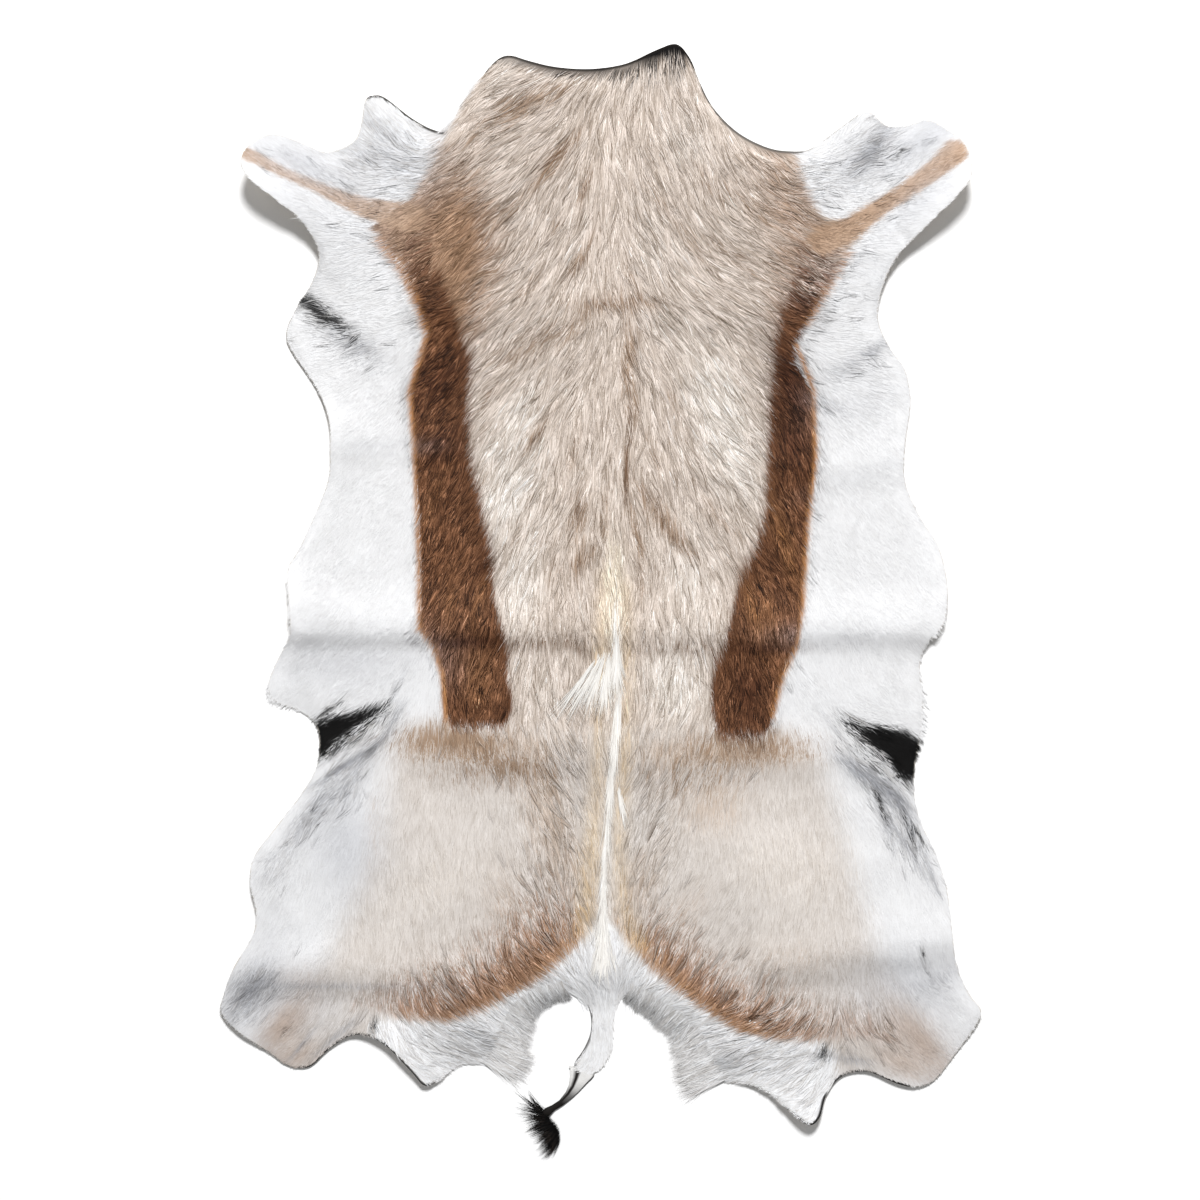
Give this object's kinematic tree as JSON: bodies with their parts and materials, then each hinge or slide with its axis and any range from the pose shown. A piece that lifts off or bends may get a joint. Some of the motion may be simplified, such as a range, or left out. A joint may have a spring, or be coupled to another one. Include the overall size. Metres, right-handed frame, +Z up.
{
  "type": "springbok hide",
  "caption": "Whole springbok hide laid flat, hair side up, with short leg lobes, low storage creases, a hair fan along the spine, loose rump hair and a tail with a black tuft.",
  "frame": {"origin": "on the ground, at the middle of the box that the hide and its tuft fill", "axes": "+X across the hide, +Y along the spine from the tail to the neck, +Z up from the flesh side to the hair side"},
  "size_m": [0.7602, 1.1219, 0.04],
  "materials": {
    "coat": "short lying hair in fawn, white and chestnut on tanned skin",
    "white_hair": "long soft white hair",
    "black_hair": "coarse black hair and dried skin"
  },
  "bodies": {
    "root": {"hide": "coat", "rump_hair_left": "white_hair", "rump_hair_right": "white_hair", "spine_fan": "white_hair", "tail_tuft": "black_hair"}
  },
  "joints": []
}
